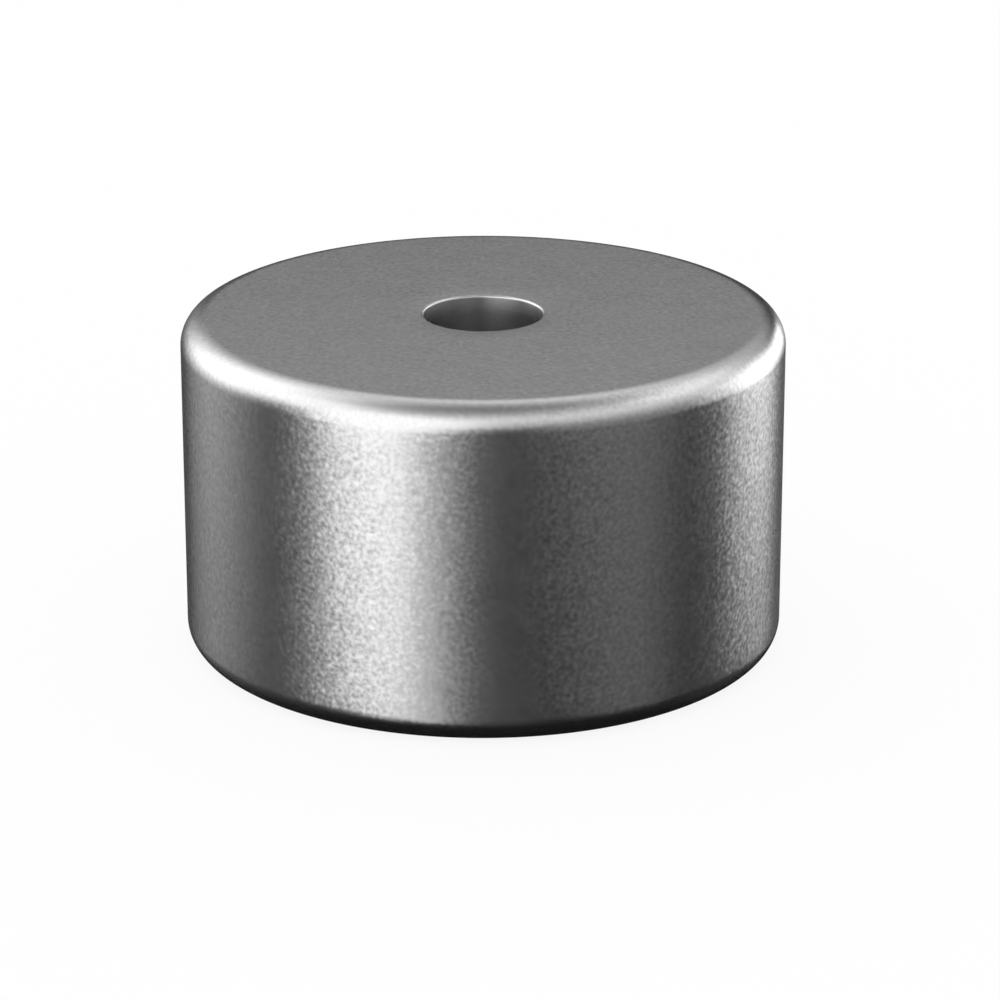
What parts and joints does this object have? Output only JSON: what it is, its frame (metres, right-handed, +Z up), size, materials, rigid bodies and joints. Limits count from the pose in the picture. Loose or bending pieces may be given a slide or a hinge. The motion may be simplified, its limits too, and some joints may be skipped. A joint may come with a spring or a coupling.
{
  "type": "record weight clamp",
  "caption": "Solid turned metal cylinder with rounded rims and a through bore for a record player's spindle, set on a record to hold it down by its own weight.",
  "frame": {"origin": "centre of the flat underside, on the axis of the bore", "axes": "+Z up along the bore, from the underside to the top face; the body is round about Z, so X and Y are any two directions across it"},
  "size_m": [0.0382, 0.0382, 0.0215],
  "materials": {
    "blasted_steel": "turned stainless steel, bead-blasted to an even fine-grained satin"
  },
  "bodies": {
    "root": {"weight_body": "blasted_steel"}
  },
  "joints": []
}
